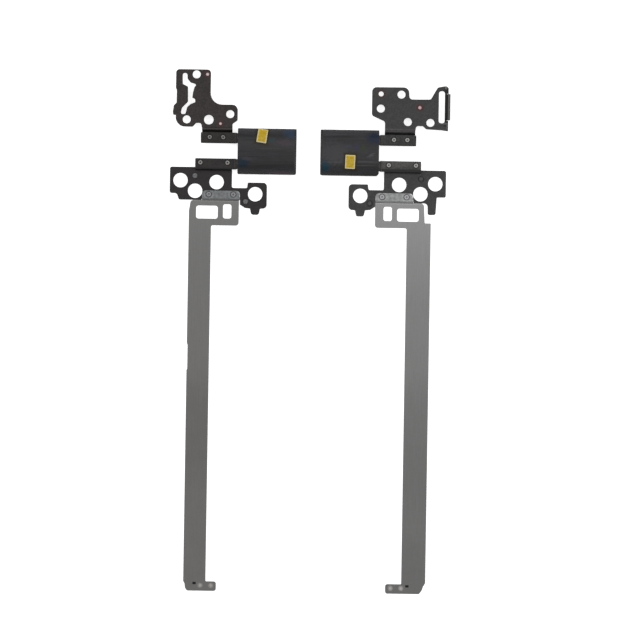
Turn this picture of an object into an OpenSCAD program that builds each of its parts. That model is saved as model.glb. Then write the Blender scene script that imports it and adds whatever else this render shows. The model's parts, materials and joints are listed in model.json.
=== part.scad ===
// A pair of geared double hinges for a laptop whose screen folds right round to the back.
// They lie on a table, opened flat to 180 degrees, and are seen from above: +X is right,
// +Y points to the keyboard side, +Z is up. Each hinge is drawn in a frame of its own, with
// x = 0 at the mouth of its cover and +x pointing away from the cover, along the two shafts.

/* [Pair] */
// Gap between the inner ends of the two covers
pair_gap = 9.6; // [4:0.2:40]

/* [Cover] */
// Length of each cover along the shafts
cover_len = 23.4; // [22.6:0.1:32]
// Thickness of the cover, which is also the diameter of its round sides
cover_h = 7.9; // [7.8:0.1:9.6]
// Wall of the cover
cover_wall = 0.7; // [0.5:0.05:0.8]
// Corner cut at the mouth of the right cover
corner_cut = 1; // [0.4:0.1:2]
// Thickness of the clear film round each cover
film_t = 0.08; // [0.05:0.01:0.2]
// Height above the table at which the film ends
film_foot = 1.4; // [0.8:0.1:3]
// Thickness of the yellow tape tabs
tape_t = 0.12; // [0.06:0.01:0.3]
// Width of the tape tabs
tape_w = 3.95; // [3:0.05:6]
// Length of the tape tabs
tape_len = 5.5; // [4:0.05:8]

/* [Shafts] */
// Distance between the two shaft axes
axis_spacing = 10.4; // [9.8:0.1:12]
// Diameter of a shaft in the mouth plate
journal_d = 4; // [3.6:0.1:4.4]
// Diameter of the keyed stem inside the cover
stem_d = 3; // [2.8:0.1:3.2]
// Thickness of the stem across its two flats
stem_flats = 2.4; // [2:0.1:2.6]
// Width of the flattened leaf of a shaft
leaf_w = 4.3; // [3.4:0.1:4.6]
// Thickness of the leaf
leaf_t = 1.7; // [1.2:0.1:2.2]
// Length of the leaf on the keyboard side
base_leaf_len = 14.8; // [12:0.1:18]
// Length of the leaf on the screen side
display_leaf_len = 16.9; // [14:0.1:18]
// Diameter of the rivets through the leaves
rivet_d = 1.2; // [0.8:0.1:1.4]
// Diameter of their heads
rivet_head_d = 2; // [1.6:0.1:2.2]
// Height of their heads
rivet_head_h = 0.3; // [0.2:0.05:0.5]
// Running clearance round a turning shaft, on the radius
running_gap = 0.03; // [0.02:0.01:0.06]

/* [Gear train] */
// Teeth of the gear on each shaft
shaft_teeth = 15; // [13:2:17]
// Teeth of each idler gear between them
idler_teeth = 9; // [9:2:11]
// Width of the gears
gear_w = 3; // [2:0.1:3.4]
// Play between meshing teeth, along the pitch circle
backlash = 0.06; // [0.04:0.01:0.1]
// Diameter of the idlers' trunnions
trunnion_d = 1.2; // [1:0.1:1.4]

/* [Friction stack] */
// How far the mouth plate sits inside the cover
mouth_depth = 0.6; // [0.2:0.1:1]
// Thickness of the mouth plate
mouth_plate_t = 1.4; // [1:0.1:1.8]
// Thickness of the inner plate
inner_plate_t = 1.2; // [0.8:0.1:1.4]
// Thickness of the stop discs
stop_disc_t = 1.2; // [0.8:0.1:1.4]
// Radius of the stop discs
stop_disc_r = 2.8; // [2.5:0.05:3]
// Half the width of the stop block between them
stop_half = 0.8; // [0.6:0.1:1]
// Thickness of the friction plate that both shafts pass through
friction_plate_t = 0.8; // [0.6:0.1:1]
// Thickness of the friction washers
washer_t = 0.5; // [0.4:0.05:0.6]
// Diameter of the friction washers
washer_d = 5.6; // [4.8:0.1:6]
// Number of disc springs on each shaft
spring_count = 6; // [2:1:6]
// Thickness of a disc spring
spring_t = 0.4; // [0.3:0.05:0.45]
// Height of its cone
spring_cone = 0.25; // [0.15:0.05:0.3]
// Thickness of the nut
nut_t = 2.2; // [1.8:0.1:2.4]
// Width of the nut across its flats
nut_af = 5; // [4.6:0.1:5.4]
// Diameter of the two posts that tie the inner plate to the mouth plate
post_d = 1.4; // [1:0.1:1.5]
// Gap between neighbours that turn against each other, along the shaft
side_gap = 0.1; // [0.05:0.01:0.15]

/* [Brackets] */
// Sheet thickness of the black brackets
sheet_t = 1; // [0.8:0.05:1.2]
// Inside radius of their bends
bend_r = 0.35; // [0.2:0.05:0.5]
// Rise of the keyboard brackets above their seats under the leaves
base_rise = 3.15; // [2:0.05:4]
// Diameter of the screw holes
screw_hole_d = 3.2; // [2.8:0.1:3.6]
// Diameter of the large holes in the screen brackets
large_hole_d = 5.8; // [5:0.1:6.4]
// Length of the left keyboard bracket, from its shaft
left_base_len = 27.1; // [23:0.1:34]
// Width of its arm
left_arm_w = 13.9; // [13:0.1:14.5]
// Length of the right keyboard bracket, from its shaft
right_base_len = 21.2; // [18:0.1:26]
// Outer face of the flange of the right keyboard bracket, from the mouth
flange_out = 28.1; // [28:0.1:31]
// Height of that flange, above the underside of its bracket
flange_h = 3.2; // [2:0.1:6]
// Outer edge of the screen brackets, from the mouth
display_out = 27; // [26.2:0.1:30]
// Diameter of the locating pins' collars
pin_d = 2.2; // [1.8:0.1:2.4]
// Height of the locating pins above their bracket
pin_h = 0.9; // [0.4:0.1:2]

/* [Strips] */
// Sheet thickness of the steel strips
strip_t = 0.6; // [0.4:0.05:0.8]
// Distance from the shaft to the far end of a strip
strip_reach = 170.7; // [120:0.1:220]
// Width of the left strip
left_strip_w = 8.9; // [8.5:0.1:9.2]
// Outer edge of the left strip, from the mouth
left_strip_out = 19.2; // [19:0.1:20]
// Width of the right strip
right_strip_w = 9.6; // [9:0.1:10]
// Outer edge of the right strip, from the mouth
right_strip_out = 21.2; // [21:0.1:22]
// Length of the foot at the far end, along the strip
foot_len = 3.8; // [3.4:0.1:5]
// How far the left foot reaches in from its strip
left_foot_reach = 4.2; // [4:0.1:8]
// How far the right foot reaches in from its strip
right_foot_reach = 6.4; // [4:0.1:8]
// Diameter of the holes in the foot
foot_hole_d = 1.4; // [1:0.1:2]
// Diameter of the strip rivets' heads
strip_rivet_d = 2.3; // [1.8:0.1:2.4]

/* [Hidden] */

$fn = 48;
eps = 0.01;
fit_gap = 0.04;

// Where the pair sits: its box is centred on the origin and stands on z = 0
mouth_x = pair_gap / 2 + cover_len;
base_y = axis_spacing / 2;
display_y = -axis_spacing / 2;
centre_x = (flange_out - display_out) / 2;
centre_y = (base_y + left_base_len + display_y - strip_reach) / 2;

// Heights
axis_z = cover_h / 2;
leaf_bottom = axis_z - leaf_t / 2;
leaf_top = axis_z + leaf_t / 2;
seat_bottom = leaf_bottom - sheet_t;
base_bottom = seat_bottom + base_rise;

// Bores and cavities
cavity_r = cover_h / 2 - cover_wall;
plate_r = cavity_r - fit_gap;
stop_neck_r = stem_d / 2 + 0.45;
journal_bore = journal_d + 2 * running_gap;
stem_bore = stem_d + 2 * running_gap;
trunnion_bore = trunnion_d + 2 * running_gap;

// The stack along a shaft, as depths inside the mouth
gear_from = mouth_depth + mouth_plate_t + side_gap;
inner_from = gear_from + gear_w + side_gap;
disc_from = inner_from + inner_plate_t + side_gap;
washer_a_from = disc_from + stop_disc_t;
friction_from = washer_a_from + washer_t + side_gap;
washer_b_from = friction_from + friction_plate_t + side_gap;
spring_from = washer_b_from + washer_t + eps;
spring_pitch = spring_t + spring_cone + eps;
nut_from = spring_from + spring_count * spring_pitch;
stem_to = nut_from + nut_t + 0.4;
journal_to = mouth_depth + mouth_plate_t + side_gap / 2;
neck_from = 0.25;
neck_to = 1;

// Gear train: shaft gear, idler a, idler b, shaft gear, in a line along y
gear_module = axis_spacing / (shaft_teeth + 2 * idler_teeth);
pressure_angle = 25;
idler_y = gear_module * idler_teeth / 2;
post_z = plate_r - post_d / 2 - 0.3;

// Middles of the tape tabs, and how far each is turned
left_tape_at = [-9.75, base_y + 0.95];
left_tape_turn = 8.4;
right_tape_at = [-11.45, display_y + 1.5];
right_tape_turn = -1.9;

// Leaves and the rivets in them
base_rivets_at = [[5.9, 0.25], [base_leaf_len - 3.55, 0.25]];
display_rivets_at = [[4, 0.5], [display_leaf_len - 2.05, 0.5]];
spin_mark_r = 0.4;
seat_in = 2.2;
base_seat_out = base_leaf_len - 0.45;
display_seat_out = display_leaf_len - 0.15;
seat_lap = leaf_w / 2 - 0.15;
base_jog = [2.8, 3.7];
display_jog = [-1.6, -2.1];
jog_foot = -2.85;
seat_relief = 0.06;

// Screen brackets, with y from their shaft: the plate, the bay beside the cover, the lobe
plate_top = -1.3;
bay_y = -9.45;
bay_in = -3.9;
lobe_in = -11.85;
lobe_top = -7.2;
lobe_bottom = -17.4;
tongue = [-9.15, -5.2];
tongue_end = -20.05;
outer_foot = -14.4;
large_holes = [
    [display_out - 4.25, plate_top - 5.35],
    [display_out - 10.15, plate_top - 9.5],
    [8.3, plate_top - 5.9],
    [lobe_in + 4.65, lobe_top - 4.6]
];
pins_at = [[display_out - 10, plate_top - 3.45], [lobe_in + 8.45, lobe_bottom + 2.55]];
pin_nose_d = pin_d - 0.7;
pin_collar_h = 0.3;
pin_tip = 0.1;

// The strips' tab on them, and where the strips step down beside it
tab_x = [-1.15, 14.05];
tab_top = -10.6;
strip_jog = [-14.05, -14.35];
head_top = strip_jog[1] - 0.1;
head_end = head_top - 10.05;
step_end = head_top - 7.95;
tab_relief = 0.45;
strip_bend_r = 0.2;
strip_rivets_at = [[tab_x[0] + 2.7, tab_top - 1.5], [tab_x[1] - 2.7, tab_top - 1.5]];

// Openings in a strip: the head's windows as [x, y, width, height, corner radius], from the
// tab's inner end and the head's top; the foot's holes and its coined mark, from the foot's end
windows = [[3.35, -7.25, 3.4, 5.7, 0.9], [8.8, -7.4, 8.7, 5.2, 1]];
foot_holes_x = [2.05, 6.3];
foot_holes_y = -1.6;
mark = [8.05, -1, 1.3, 0.8, 0.1];
mark_floor = 0.15;

// Unit vector along v
function unit(v) = v / norm(v);

// Signed angle from a to b, between -180 and 180
function turn(a, b) = let (d = b - a) d > 180 ? d - 360 : d < -180 ? d + 360 : d;

// Points of one rounded corner at b, between its neighbours a and c
function corner(a, b, c, r) =
    let (
        u = unit(a - b),
        v = unit(c - b),
        half = acos(max(-1, min(1, u * v))) / 2
    )
    r <= 0 || half > 89 ? [b] :
    let (
        centre = b + unit(u + v) * r / sin(half),
        from = b + u * r / tan(half) - centre,
        to = b + v * r / tan(half) - centre,
        start = atan2(from.y, from.x),
        sweep = turn(start, atan2(to.y, to.x)),
        steps = max(2, ceil(abs(sweep) / 15))
    )
    [for (i = [0:steps]) let (a = start + sweep * i / steps) centre + r * [cos(a), sin(a)]];

// Closed outline through corners given as [x, y, radius]
function rounded(p) =
    let (n = len(p))
    [for (i = [0:n - 1])
        each corner(
            [p[(i + n - 1) % n].x, p[(i + n - 1) % n].y],
            [p[i].x, p[i].y],
            [p[(i + 1) % n].x, p[(i + 1) % n].y],
            p[i].z
        )];

// Point of a path moved sideways by d, square to both of its neighbours
function beside(path, i, d) =
    let (
        last = len(path) - 1,
        a = unit(i == 0 ? path[1] - path[0] : path[i] - path[i - 1]),
        b = unit(i == last ? path[last] - path[last - 1] : path[i + 1] - path[i]),
        m = [-a.y - b.y, a.x + b.x] / (1 + a * b)
    )
    path[i] + d * m;

// 1 where a path turns left at point i, -1 where it turns right
function bend_side(path, i) =
    let (a = path[i] - path[i - 1], b = path[i + 1] - path[i])
    sign(a.x * b.y - a.y * b.x);

// Section of a bent sheet of thickness t along a path, with inside bend radius r
function sheet_section(path, t, r) =
    let (last = len(path) - 1)
    rounded(concat(
        [for (i = [0:last])
            let (p = beside(path, i, t / 2))
            [p.x, p.y, i == 0 || i == last ? 0 : bend_side(path, i) > 0 ? r : r + t]],
        [for (i = [last:-1:0])
            let (p = beside(path, i, -t / 2))
            [p.x, p.y, i == 0 || i == last ? 0 : bend_side(path, i) > 0 ? r + t : r]]
    ));

// The involute function, in degrees
function involute(a) = tan(a) * 180 / PI - a;

// Half angle of a tooth at radius r, for a gear with the given pitch and base radii
function half_tooth(r, pitch_r, base_r) =
    let (at = acos(min(1, base_r / r)))
    backlash_angle(pitch_r) + involute(pressure_angle) - involute(at);

// Half angle of a tooth at the pitch circle, less half the play
function backlash_angle(pitch_r) =
    (PI * gear_module / 4 - backlash / 4) / pitch_r * 180 / PI;

// Outline of a gear with one tooth centred at the angle "first"
function gear_points(teeth, first) =
    let (
        pitch_r = gear_module * teeth / 2,
        base_r = pitch_r * cos(pressure_angle),
        tip_r = pitch_r + 0.8 * gear_module,
        root_r = pitch_r - 1.05 * gear_module,
        low_r = max(base_r, root_r + eps),
        radii = [root_r, for (i = [0:4]) low_r + (tip_r - low_r) * i / 4],
        n = len(radii)
    )
    [for (k = [0:teeth - 1])
        for (i = [0:2 * n - 1])
            let (
                side = i < n ? -1 : 1,
                r = i < n ? radii[i] : radii[2 * n - 1 - i],
                a = first + k * 360 / teeth + side * half_tooth(max(r, low_r), pitch_r, base_r)
            )
            r * [cos(a), sin(a)]];

// 2D drawings in the plane square to the shafts: their x runs along +Y, their y along +Z
module along_x(from, to) {
    translate([from, 0, 0]) rotate([90, 0, 90]) linear_extrude(to - from) children();
}

module on_left() {
    translate([-mouth_x - centre_x, -centre_y, 0]) mirror([1, 0, 0]) children();
}

module on_right() {
    translate([mouth_x - centre_x, -centre_y, 0]) children();
}

// Section with round sides centred on the two shafts
module stadium(r) {
    translate([0, axis_z]) {
        square([axis_spacing, 2 * r], center = true);
        for (y = [base_y, display_y])
            translate([y, 0]) circle(r);
    }
}

// Section of a stem with two flats, cleared by gap all round
module keyed(gap) {
    intersection() {
        circle(stem_d / 2 + gap);
        square([stem_d + 4 * gap, stem_flats + 2 * gap], center = true);
    }
}

// Closed at the far end, open at the mouth
module cover(cut) {
    color([0.2, 0.2, 0.22]) difference() {
        intersection() {
            along_x(-cover_len, 0) stadium(cover_h / 2);
            linear_extrude(cover_h)
                polygon(rounded([
                    [-cover_len, base_y + cover_h, 0],
                    [-cover_len, base_y + cover_h / 2, 0.7],
                    [0, base_y + cover_h / 2, 0.3],
                    [0, display_y - cover_h / 2 + cut, 0.2],
                    [-cut * 0.7, display_y - cover_h / 2, 0.2],
                    [-cover_len, display_y - cover_h / 2, 0.7]
                ]));
        }
        along_x(-cover_len + cover_wall, 1) stadium(cavity_r);
    }
}

// Clear film over the top and the round sides, open underneath
module film() {
    color([0.3, 0.35, 0.45, 0.5]) difference() {
        along_x(-cover_len + 0.8, -1.4) stadium(cover_h / 2 + film_t);
        along_x(-cover_len, 0) stadium(cover_h / 2);
        translate([-cover_len, -2 * axis_spacing, -1])
            cube([cover_len, 4 * axis_spacing, film_foot + 1]);
    }
}

// A tape tab laid over the film, centred at p and turned by angle
module tape_tab(p, angle) {
    color([0.8, 0.66, 0.22]) intersection() {
        difference() {
            along_x(-cover_len, 0) stadium(cover_h / 2 + film_t + tape_t);
            along_x(-cover_len, 0) stadium(cover_h / 2 + film_t);
        }
        translate([p.x, p.y, axis_z + 0.2]) rotate(angle)
            linear_extrude(cover_h)
                polygon(rounded([
                    [-tape_w / 2, -tape_len / 2, 0.2],
                    [tape_w / 2, -tape_len / 2, 0.2],
                    [tape_w / 2, tape_len / 2, 0.2],
                    [-tape_w / 2, tape_len / 2, 0.2]
                ]));
    }
}

// Holes for the idlers' trunnions
module trunnion_holes() {
    for (y = [-idler_y, idler_y])
        translate([y, axis_z]) circle(d = trunnion_bore);
}

module post_marks(d) {
    for (z = [-post_z, post_z])
        translate([0, axis_z + z]) circle(d = d);
}

module mouth_plate() {
    color([0.45, 0.45, 0.47]) along_x(-mouth_depth - mouth_plate_t, -mouth_depth) difference() {
        stadium(plate_r);
        for (y = [base_y, display_y])
            translate([y, axis_z]) circle(d = journal_bore);
        trunnion_holes();
        post_marks(post_d + 2 * fit_gap);
    }
}

// Carries the idlers, the two tie posts and the block that stops both discs
module inner_plate() {
    color([0.45, 0.45, 0.47]) {
        along_x(-inner_from - inner_plate_t, -inner_from) difference() {
            stadium(plate_r);
            for (y = [base_y, display_y])
                translate([y, axis_z]) circle(d = stem_bore);
            trunnion_holes();
        }
        along_x(-inner_from - eps, -mouth_depth) post_marks(post_d);
        along_x(-disc_from - stop_disc_t + side_gap / 2, -inner_from - inner_plate_t + eps)
            translate([0, axis_z])
                square([axis_spacing - 2 * stop_neck_r - 4 * running_gap, 2 * stop_half], center = true);
    }
}

// Turns a quarter turn each way before its straight edge meets the stop block
module stop_disc(y) {
    color([0.6, 0.6, 0.62]) along_x(-disc_from - stop_disc_t, -disc_from)
        translate([y, axis_z]) difference() {
            union() {
                circle(stop_neck_r);
                intersection() {
                    circle(stop_disc_r);
                    rotate(y > 0 ? 0 : 180)
                        translate([stop_half + running_gap, -stop_disc_r]) square(2 * stop_disc_r);
                }
            }
            keyed(running_gap);
        }
}

// Fixed plate that the washers rub on
module friction_plate() {
    color([0.5, 0.5, 0.5]) along_x(-friction_from - friction_plate_t, -friction_from) difference() {
        stadium(plate_r);
        for (y = [base_y, display_y])
            translate([y, axis_z]) circle(d = stem_bore);
    }
}

module friction_washers(y) {
    color([0.75, 0.6, 0.35])
        for (from = [washer_a_from, washer_b_from])
            along_x(-from - washer_t, -from) translate([y, axis_z]) difference() {
                circle(d = washer_d);
                keyed(running_gap);
            }
}

// Disc springs in series, each one turned against the next
module disc_springs(y) {
    hole_r = stem_d / 2 + running_gap;
    outer_r = washer_d / 2 - 0.1;
    color([0.65, 0.65, 0.68])
        for (i = [0:spring_count - 1])
            translate([-spring_from - i * spring_pitch, y, axis_z]) rotate([0, -90, 0])
                rotate_extrude()
                    let (inner_z = i % 2 == 0 ? spring_cone : 0, outer_z = spring_cone - inner_z)
                        polygon([
                            [hole_r, inner_z],
                            [outer_r, outer_z],
                            [outer_r, outer_z + spring_t],
                            [hole_r, inner_z + spring_t]
                        ]);
}

module shaft_nut(y) {
    color([0.7, 0.7, 0.72]) translate([-nut_from, y, axis_z]) rotate([0, -90, 0]) difference() {
        cylinder(d = nut_af / cos(30), h = nut_t, $fn = 6);
        translate([0, 0, -1]) cylinder(d = stem_bore, h = nut_t + 2);
    }
}

// Round in the mouth plate, keyed inside the cover and flattened to a leaf outside
module shaft(y, leaf_len, rivets_at) {
    color([0.22, 0.21, 0.21]) translate([0, y, axis_z]) {
        difference() {
            union() {
                translate([-journal_to, 0, 0]) rotate([0, 90, 0])
                    cylinder(d = journal_d, h = journal_to + neck_from);
                intersection() {
                    translate([neck_from - eps, 0, 0]) rotate([0, 90, 0])
                        cylinder(d = journal_d, h = neck_to - neck_from + eps);
                    rotate([90, 0, 0]) linear_extrude(journal_d, center = true) polygon([
                        [neck_from - eps, journal_d / 2],
                        [neck_from, journal_d / 2],
                        [neck_to, leaf_t / 2],
                        [neck_to, -leaf_t / 2],
                        [neck_from, -journal_d / 2],
                        [neck_from - eps, -journal_d / 2]
                    ]);
                }
                translate([0, 0, -leaf_t / 2]) linear_extrude(leaf_t) polygon(rounded([
                    [neck_from, -leaf_w / 2, 0.4],
                    [leaf_len, -leaf_w / 2, 0.3],
                    [leaf_len, leaf_w / 2, 0.3],
                    [neck_from, leaf_w / 2, 0.4]
                ]));
            }
            for (p = rivets_at)
                translate([p.x, p.y, -leaf_t]) cylinder(d = rivet_d + fit_gap, h = 2 * leaf_t);
        }
        rotate([90, 0, -90]) linear_extrude(stem_to) keyed(0);
    }
}

module base_shaft() {
    shaft(base_y, base_leaf_len, base_rivets_at);
}

module display_shaft() {
    shaft(display_y, display_leaf_len, display_rivets_at);
}

// Gear fixed on a shaft's stem
module shaft_gear(y, first) {
    color([0.72, 0.7, 0.62]) along_x(-gear_from - gear_w, -gear_from)
        translate([y, axis_z]) difference() {
            polygon(gear_points(shaft_teeth, first));
            keyed(running_gap);
        }
}

// Idler gear with its own trunnions, which run in the mouth plate and the inner plate
module idler_gear(y, first) {
    color([0.72, 0.7, 0.62]) {
        along_x(-gear_from - gear_w, -gear_from)
            translate([y, axis_z]) polygon(gear_points(idler_teeth, first));
        translate([-inner_from - inner_plate_t + side_gap, y, axis_z]) rotate([0, 90, 0])
            cylinder(d = trunnion_d, h = inner_from + inner_plate_t - mouth_depth - 2 * side_gap);
    }
}

// Head spun over on the end of a rivet, with the mark of the tool in its middle
module spun_head(d) {
    rotate_extrude() polygon([
        [0, 0],
        [d / 2, 0],
        [d / 2, 0.4 * rivet_head_h],
        [d / 2 - 0.2, rivet_head_h],
        [spin_mark_r, rivet_head_h],
        [0, 0.4 * rivet_head_h]
    ]);
}

// Rivets through a leaf and the seat under it, with a head on each side
module leaf_rivets(y, rivets_at) {
    color([0.5, 0.48, 0.46])
        for (p = rivets_at)
            translate([p.x, y + p.y, 0]) {
                translate([0, 0, seat_bottom - rivet_head_h]) cylinder(d = rivet_head_d, h = rivet_head_h);
                translate([0, 0, seat_bottom - eps]) cylinder(d = rivet_d, h = sheet_t + leaf_t + 2 * eps);
                translate([0, 0, leaf_top]) spun_head(rivet_head_d);
            }
}

// Bent sheet: an outline seen from above, given the section it was bent to along y
module bent_sheet(outline, section) {
    across = [for (p = outline) p.x];
    intersection() {
        translate([0, 0, -1]) linear_extrude(2 * cover_h + base_rise) polygon(rounded(outline));
        along_x(min(across) - 1, max(across) + 1) polygon(section);
    }
}

module leaf_rivet_holes(rivets_at) {
    for (p = rivets_at)
        translate([p.x, p.y, 0]) cylinder(d = rivet_d + fit_gap, h = axis_z);
}

// Holes through a keyboard bracket, each one [x, y, diameter]
module base_holes(holes) {
    for (h = holes)
        translate([h.x, h.y, base_bottom - 1]) cylinder(d = h.z, h = sheet_t + 2);
}

function base_section(len) = sheet_section([
    [-seat_lap - 1, seat_bottom + sheet_t / 2],
    [base_jog[0], seat_bottom + sheet_t / 2],
    [base_jog[1], base_bottom + sheet_t / 2],
    [len + 1, base_bottom + sheet_t / 2]
], sheet_t, bend_r);

left_black = [0.22, 0.2, 0.2];
right_black = [0.28, 0.27, 0.27];
left_base_out = 25;
left_arm_in = left_base_out - left_arm_w;
left_lobe_in = 0.2;
left_lobe_top = 13.15;
left_neck = 5.75;
left_heel = 4.3;
left_lug = 8.8;
left_base_holes = [
    [left_base_out - 8.2, left_base_len - 2, screw_hole_d],
    [left_lobe_in + 3, left_lobe_top - 3.7, screw_hole_d],
    [left_base_out - 4.5, left_heel + 2.8, screw_hole_d],
    [seat_in + 9.5, left_heel + 2.8, screw_hole_d + 0.6],
    [left_arm_in + 1.35, left_base_len - 1.9, 1.3],
    [seat_in + 4.8, left_heel + 1.3, 1.1]
];

// The winding slot: inset from the outer edge, place along the slot from 0 to 1, corner radius
slot_from = 9.2;
slot_len = left_base_len - 1.5 - slot_from;
winding_slot = [
    [2.6, 1, 0.9],
    [2.7, 0.73, 0.8],
    [4.8, 0.67, 0.6],
    [4.9, 0.3, 0.8],
    [2.5, 0.15, 1.2],
    [2, 0, 0.7],
    [3.9, 0, 0.7],
    [4.6, 0.17, 1],
    [6, 0.25, 0.8],
    [7.8, 0.29, 0.5],
    [7.7, 0.37, 0.6],
    [6.6, 0.4, 0.2],
    [6.8, 0.52, 1],
    [7.4, 0.66, 0.4],
    [8.1, 0.71, 0.3],
    [7.5, 0.74, 0.3],
    [5.8, 0.77, 0.6],
    [4.6, 0.86, 0.8],
    [4.5, 1, 0.9]
];

// Keyboard bracket of the left hinge, with a winding slot along its outer edge
module left_base_bracket() {
    color(left_black) translate([0, base_y, 0]) difference() {
        bent_sheet([
            [left_base_out, left_base_len, 1.4],
            [left_arm_in, left_base_len, 1.4],
            [left_arm_in, left_lobe_top, 4.6],
            [left_lobe_in, left_lobe_top + 0.1, 2.2],
            [left_lobe_in, left_neck + 1.2, 0.8],
            [seat_in, left_neck - 0.2, 0.5],
            [seat_in, -seat_lap, 0],
            [base_seat_out, -seat_lap, 0],
            [base_seat_out, base_jog[1], 0],
            [base_seat_out + 0.4, left_neck, 1],
            [base_seat_out + 2.4, left_neck, 1.1],
            [base_seat_out + 3.7, left_heel - 0.1, 0.8],
            [left_base_out - 0.1, left_heel, 3.6],
            [left_base_out - 0.1, left_lug, 0.2],
            [left_base_out + 0.9, left_lug + 0.1, 0.3],
            [left_base_out + 1.1, left_lug + 1.2, 0.8],
            [left_base_out + 0.75, left_lug + 3.8, 0.6],
            [left_base_out - 0.35, left_lug + 4.9, 0.5],
            [left_base_out - 0.4, left_lug + 9.9, 0.4],
            [left_base_out, left_lug + 10.8, 0.4]
        ], base_section(left_base_len));
        base_holes(left_base_holes);
        leaf_rivet_holes(base_rivets_at);
        translate([0, 0, base_bottom - 1]) linear_extrude(sheet_t + 2)
            polygon(rounded([
                for (p = winding_slot) [left_base_out - p.x, slot_from + p.y * slot_len, p.z]
            ]));
    }
}

right_base_out = flange_out - 0.7;
right_lobe_in = -3.1;
right_lobe_foot = right_base_len - 11.4;
right_arm_out = 11.5;
right_notch = right_base_len - 4.8;
right_heel = 3.9;
right_neck = 5.8;
right_base_holes = [
    [right_lobe_in + 3.6, right_base_len - 2.75, 2],
    [right_lobe_in + 3.55, right_base_len - 8.6, screw_hole_d],
    [right_arm_out - 2.9, right_base_len - 2.9, screw_hole_d],
    [right_arm_out - 0.2, right_heel + 3.5, screw_hole_d],
    [right_base_out - 7.1, right_heel + 3.3, screw_hole_d],
    [right_arm_out + 4.5, right_notch - 3.2, 1.4]
];
flange_y = [right_heel + 4.4, right_base_len - 2.5];
flange_relief = 0.15;

// Keyboard bracket of the right hinge, with a straight slot and a flange bent up along it
module right_base_bracket() {
    bend_from = flange_out - sheet_t - bend_r;
    slot_x = right_base_out - 3.85;
    slot_w = 2.4;
    slot_end = right_base_len - 1.3;
    color(right_black) translate([0, base_y, 0]) difference() {
        union() {
            difference() {
                bent_sheet([
                    [right_lobe_in, right_base_len - 0.1, 1.7],
                    [right_arm_out, right_base_len, 2.2],
                    [right_arm_out + 0.4, right_notch, 1.3],
                    [right_base_out - 7.1, right_notch + 0.1, 0.8],
                    [right_base_out - 4.3, right_base_len + 0.2, 1.4],
                    [right_base_out - 0.9, right_base_len + 0.8, 1],
                    [right_base_out, right_base_len, 0.5],
                    [right_base_out, right_heel, 0.3],
                    [right_base_out - 2.6, right_heel + 0.4, 0],
                    [right_base_out - 8.8, right_heel + 0.7, 1],
                    [right_base_out - 10, right_neck, 1.1],
                    [base_seat_out + 0.3, right_neck + 0.1, 1.1],
                    [base_seat_out, base_jog[1], 0],
                    [base_seat_out, -seat_lap, 0],
                    [seat_in, -seat_lap, 0],
                    [seat_in, right_lobe_foot - 3.1, 0],
                    [seat_in - 0.15, right_lobe_foot - 2.3, 0.8],
                    [right_lobe_in, right_lobe_foot, 1.4]
                ], base_section(right_base_len + 1));
                translate([bend_from, flange_y[0] - flange_relief, base_bottom - 1])
                    cube([5, flange_y[1] - flange_y[0] + 2 * flange_relief, 5]);
            }
            translate([0, flange_y[1], 0]) rotate([90, 0, 0])
                linear_extrude(flange_y[1] - flange_y[0]) polygon(sheet_section([
                    [bend_from - 0.4, base_bottom + sheet_t / 2],
                    [flange_out - sheet_t / 2, base_bottom + sheet_t / 2],
                    [flange_out - sheet_t / 2, base_bottom + flange_h]
                ], sheet_t, bend_r));
        }
        base_holes(right_base_holes);
        leaf_rivet_holes(base_rivets_at);
        translate([0, 0, base_bottom - 1]) linear_extrude(sheet_t + 2) polygon(rounded([
            [slot_x, right_heel + 3.2, 1],
            [slot_x + slot_w, right_heel + 3.2, 1],
            [slot_x + slot_w, slot_end, 1],
            [slot_x, slot_end, 1]
        ]));
    }
}

// Bottom edge of a screen bracket from its outer side to the tab: plain, or with a leg
plain_edge = [
    [display_out - 3.7, outer_foot, 0.8],
    [display_out - 2.8, outer_foot + 2.6, 1.2],
    [display_out, outer_foot + 2.6, 0.8]
];
leg_edge = [
    [display_out - 7.2, outer_foot, 1.5],
    [display_out - 7.1, outer_foot - 4.7, 0.8],
    [display_out - 4, outer_foot - 4.6, 0.8],
    [display_out - 3.6, outer_foot + 2.4, 0.5],
    [display_out, outer_foot + 2.4, 0.6]
];

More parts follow.
